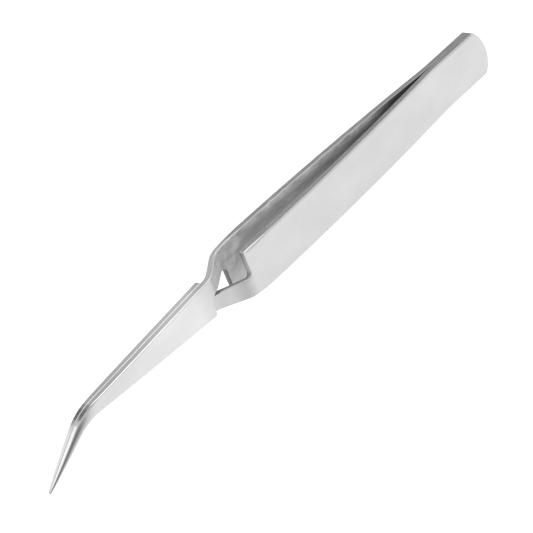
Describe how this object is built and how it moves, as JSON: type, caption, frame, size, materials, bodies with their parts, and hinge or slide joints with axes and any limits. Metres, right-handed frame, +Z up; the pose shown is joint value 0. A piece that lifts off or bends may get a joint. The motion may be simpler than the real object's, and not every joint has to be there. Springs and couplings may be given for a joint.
{
  "type": "reverse-action tweezers",
  "caption": "Self-closing cross-over tweezers: spring leaves welded at the head cross behind fine curved jaws, which open when the handles are squeezed.",
  "frame": {"origin": "centre of the bottom of the bounding box, level with the lowest point of the tips", "axes": "+X from the points to the head, +Y through the thickness away from the handle leaf called front, +Z up across the width of the leaves"},
  "size_m": [0.1208, 0.0074, 0.0118],
  "materials": {
    "leaf_steel": "satin stainless steel with polished broken edges",
    "weld_metal": "fused steel, hidden inside the head"
  },
  "bodies": {
    "head": {"front_leaf_tail": "leaf_steel", "back_leaf_tail": "leaf_steel", "spot_welds": "weld_metal"},
    "front_leaf": {"front_leaf": "leaf_steel"},
    "back_leaf": {"back_leaf": "leaf_steel"}
  },
  "joints": [
    {"name": "front_leaf_flex", "type": "hinge", "parent": "head", "child": "front_leaf", "pos_m": [0.0472, -0.00064, 0.00757], "axis": [0, 0, -1], "range_deg": [0, 2.2], "stiffness_Nm_per_rad": 2, "springref_deg": -2.86},
    {"name": "back_leaf_flex", "type": "hinge", "parent": "head", "child": "back_leaf", "pos_m": [0.0472, 0.00064, 0.00757], "axis": [0, 0, 1], "range_deg": [0, 2.2], "stiffness_Nm_per_rad": 2, "springref_deg": -2.86}
  ],
  "couplings": [
    {"joint": "back_leaf_flex", "follows": "front_leaf_flex", "ratio": 1}
  ]
}
